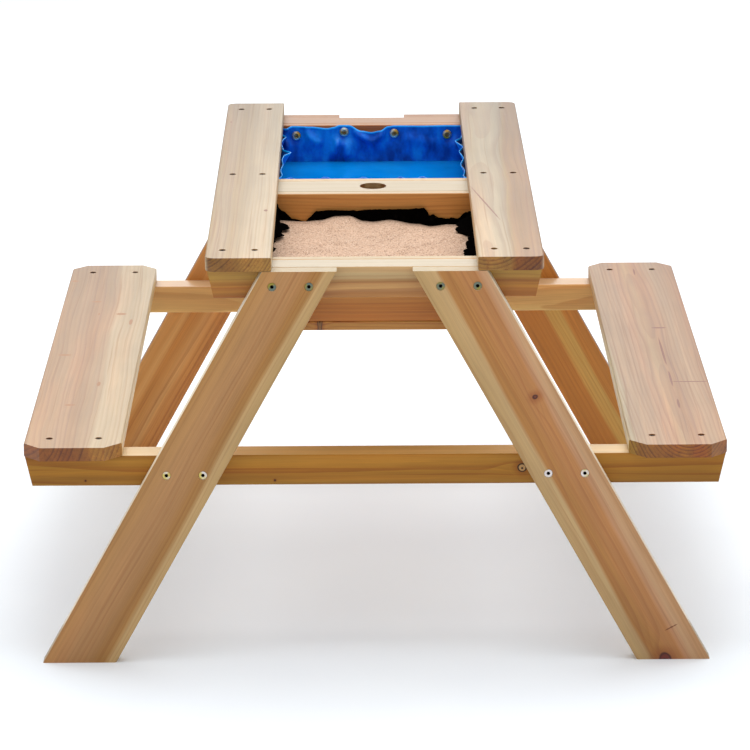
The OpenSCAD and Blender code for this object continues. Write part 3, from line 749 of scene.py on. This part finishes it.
def make_water():
    """A body of clear blue water with faint ripples."""
    def surface(x, y):
        points = np.column_stack((x, y, np.zeros(len(x))))
        return WATER_Z + 0.25 * MM * lumps(points, 34, 3) + 0.1 * MM * lumps(points, 90, 5)

    floor_z = inside("water")[0][2]
    piece = heap("water_body", "water", LINER_IN, floor_z + LINER_IN, surface, 3 * MM)
    g = Graph("pool_water")
    tint = g.ramp(g.noise(g.place, 16.0, 2.0), ((0.35, colour("0084d8")), (0.65, colour("0c92e6"))))
    ripples = g.noise(g.vector("MULTIPLY", g.place, (60, 90, 60)), 1.0, 2.0)
    piece.data.materials.append(g.finish(tint, 0.04, g.bump(ripples, 0.12, 0.002), IOR=1.33,
                                         Transmission_Weight=0.35))
    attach(piece, "root")
    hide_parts("water_fill")


# ---- Sand box ----

def make_sand_liner():
    """A thin black membrane, cut roughly. It stands against the beam and flops over at the sides."""
    tub = Tub("sand")
    bend = tub.profile(
        near=((-147, 512), (0, 508), (147, 512)),
        far=((-147, 526), (-137, 520), (-126, 509), (-111, 497), (-94, 493), (-88, 499),
             (-79, 508), (-60, 509.5), (-22, 508.5), (-10, 510), (40, 510.5), (69, 511.5),
             (74, 508), (78, 500), (83, 503), (90, 498), (100, 496), (117, 496.5), (128, 506),
             (147, 507)),
        left=((-391, 509), (-200, 506), (-155, 505), (-110, 506), (-80, 514), (-46, 526)),
        right=((-391, 509), (-200, 506), (-150, 505), (-110, 511), (-46, 508)))
    lean = tub.profile(
        near=((-147, 5), (147, 5)),
        far=((-147, 12), (-126, 6), (-94, 2), (-80, 5), (69, 6), (78, 2), (84, 6), (100, 2),
             (128, 8), (147, 12)),
        left=((-391, 6), (-280, 10), (-255, 15), (-230, 12), (-200, 14), (-165, 13), (-156, 18),
              (-147, 25), (-134, 21), (-122, 20), (-108, 31), (-92, 28), (-80, 17), (-66, 15),
              (-46, 12)),
        right=((-391, 6), (-280, 14), (-266, 26), (-238, 26), (-226, 21), (-200, 22), (-172, 18),
               (-156, 15), (-146, 22), (-136, 31), (-117, 34), (-104, 30), (-92, 33), (-70, 28),
               (-46, 12)))
    over = ease((lean - 14 * MM) / (5 * MM))
    end = bend + over * (SAND_Z + 3.5 * MM - bend)
    floor_z = tub.low[2] + LINER_IN
    start = SAND_Z - 7 * MM - floor_z
    rows = [(np.zeros(len(lean)), np.full(len(lean), start * share)) for share in (0.05, 0.5, 1)]
    for t in np.linspace(0, 1, 16)[1:]:
        reach = t * t * lean
        up = (1 - t) ** 2 * start + 2 * t * (1 - t) * (bend - floor_z) + t * t * (end - floor_z)
        spots = np.column_stack((tub.places, np.full(len(lean), t * 0.03)))
        creases = 1 - 2 * np.abs(lumps(spots, 90, 2)) - 1.4 * np.abs(lumps(spots, 210, 7))
        crumple = ease(t * 1.3 - 0.2) * creases * 1.7 * MM
        rows.append((np.maximum(reach + crumple, 0), up + 0.6 * np.abs(crumple)))
    piece = tub.build("sand_liner_sheet", rows)
    piece.data.materials.append(membrane("membrane"))
    thicken(piece)
    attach(piece, "root")
    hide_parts("sand_liner")


def membrane(name):
    """Thin black non-woven sheet, with a little grey dust here and there."""
    g = Graph(name)
    fibres = g.noise(g.place, 1400.0, 3.0, 0.7)
    dust = g.smooth(g.noise(g.place, 90.0, 4.0, 0.65), 0.56, 0.8)
    base = g.mix(g.math("MULTIPLY", dust, 0.12), colour("050404"), colour("3a3532"))
    base = g.vector("SCALE", base, scale=g.math("MULTIPLY_ADD", fibres, 0.8, 0.6))
    dents = g.bump(g.noise(g.place, 160.0, 3.0), 0.4, 0.002)
    rough = g.math("MULTIPLY_ADD", fibres, 0.3, 0.35)
    return g.finish(base, rough, g.bump(fibres, 0.3, 0.0003, dents), Specular_IOR_Level=0.0)


def make_sand():
    """A heap of sand, higher or lower along its far edge as the line far_edge says."""
    far_y = inside("sand")[1][1]
    far_edge = ((-148, 497), (-127, 495.5), (-95, 493.5), (-76, 495), (-50, 501), (-35, 501.5),
                (-12, 493.5), (0, 492.5), (22, 495), (60, 489), (80, 485.5), (105, 488), (148, 488))

    def surface(x, y):
        points = np.column_stack((x, y, np.zeros(len(x))))
        z = SAND_Z + 3.2 * MM * lumps(points, 17, 1) + 2.4 * MM * lumps(points, 50, 4)
        z += 1.1 * MM * lumps(points, 150, 6)
        near_far = np.exp(-((far_y - y) / (42 * MM)) ** 2)
        return z + near_far * (line(far_edge, x) - z)

    floor_z = inside("sand")[0][2]
    piece = heap("sand_body", "sand", LINER_IN + 0.6 * MM, floor_z + LINER_IN + 0.7 * MM, surface,
                 1.6 * MM)
    piece.data.materials.append(grains())
    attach(piece, "root")
    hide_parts("sand_fill")


def grains():
    """Pinkish play sand. Each cell is one grain of its own colour, among them some dark ones."""
    g = Graph("sand_grains")
    cell = g.add("ShaderNodeTexVoronoi", {"Vector": g.place, "Scale": 900.0})
    shade = g.xyz(cell.outputs["Color"])[0]
    coarse = g.add("ShaderNodeTexVoronoi", {"Vector": g.place, "Scale": 400.0})
    base = g.ramp(shade, ((0.0, colour("a98a74")), (0.2, colour("b6967e")), (0.5, colour("bf9f87")),
                          (0.85, colour("c8aa92")), (1.0, colour("d6bfaa"))))
    chosen = g.smooth(g.xyz(coarse.outputs["Color"])[1], 0.45, 0.55)
    speck = g.math("MULTIPLY", chosen, g.smooth(coarse.outputs["Distance"], 0.5, 0.25))
    base = g.mix(g.math("MULTIPLY", speck, 0.7), base, colour("664a3a"))
    damp = g.noise(g.place, 22.0, 3.0)
    base = g.vector("SCALE", base, scale=g.math("MULTIPLY_ADD", damp, 0.2, 0.9))
    fine = g.bump(cell.outputs["Distance"], 0.5, 0.0006)
    return g.finish(base, 0.85, g.bump(coarse.outputs["Distance"], 0.4, 0.001, fine),
                    Specular_IOR_Level=0.3)


# ---- Stage ----

def make_stage():
    """A pale floor and soft light, from above and a little behind as in a studio."""
    g = Graph("studio_floor")
    grey = g.ramp(g.noise(g.place, 3.0, 2.0), ((0.3, colour("eef5fc")), (0.7, colour("f2f9ff"))))
    floor_material = g.finish(grey, 0.9)
    half = 15.0
    corners = [(-half, -half, 0), (half, -half, 0), (half, half, 0), (-half, half, 0)]
    mesh = bpy.data.meshes.new("studio_floor")
    mesh.from_pydata(corners, [], [(0, 1, 2, 3)])
    floor = bpy.data.objects.new("studio_floor", mesh)
    floor.data.materials.append(floor_material)
    bpy.context.scene.collection.objects.link(floor)

    world = bpy.data.worlds.new("studio")
    world.use_nodes = True
    background = world.node_tree.nodes["Background"]
    background.inputs["Color"].default_value = (1, 1, 1, 1)
    background.inputs["Strength"].default_value = 0.67
    bpy.context.scene.world = world

    add_light("overhead", (0.0, 0.4, 3.2), (0, 0, 0.3), (4.2, 3.4), 118)
    add_light("behind", (0.0, 4.2, 2.0), (0, 0, 0.4), (4.0, 1.6), 55)


def add_light(name, at, towards, size, power):
    """A rectangular lamp at one point that shines towards another."""
    data = bpy.data.lights.new(name, "AREA")
    data.shape = "RECTANGLE"
    data.size, data.size_y = size
    data.energy = power
    light = bpy.data.objects.new(name, data)
    light.location = at
    light.rotation_euler = (Vector(towards) - Vector(at)).to_track_quat("-Z", "Y").to_euler()
    bpy.context.scene.collection.objects.link(light)


def make_camera():
    """The photo's view: from the sand box's end, looking down on the table."""
    data = bpy.data.cameras.new("camera")
    data.sensor_width = 36
    data.lens = 179.4
    data.clip_end = 60
    camera = bpy.data.objects.new("camera", data)
    camera.location = (-0.0171, -5.0946, 1.7513)
    yaw = Matrix.Rotation(math.radians(-0.209), 3, "Z")
    pitch = Matrix.Rotation(math.radians(90 - 16.356), 3, "X")
    roll = Matrix.Rotation(math.radians(-0.281), 3, "Z")
    camera.rotation_euler = (yaw @ pitch @ roll).to_euler()
    bpy.context.scene.collection.objects.link(camera)
    bpy.context.scene.camera = camera
    bpy.context.scene.view_settings.view_transform = "Standard"


make_camera()
make_stage()
dress_legs()
dress_rails()
dress_planks()
dress_boxes()
dress_metal()
make_water_liner()
make_water()
make_sand_liner()
make_sand()
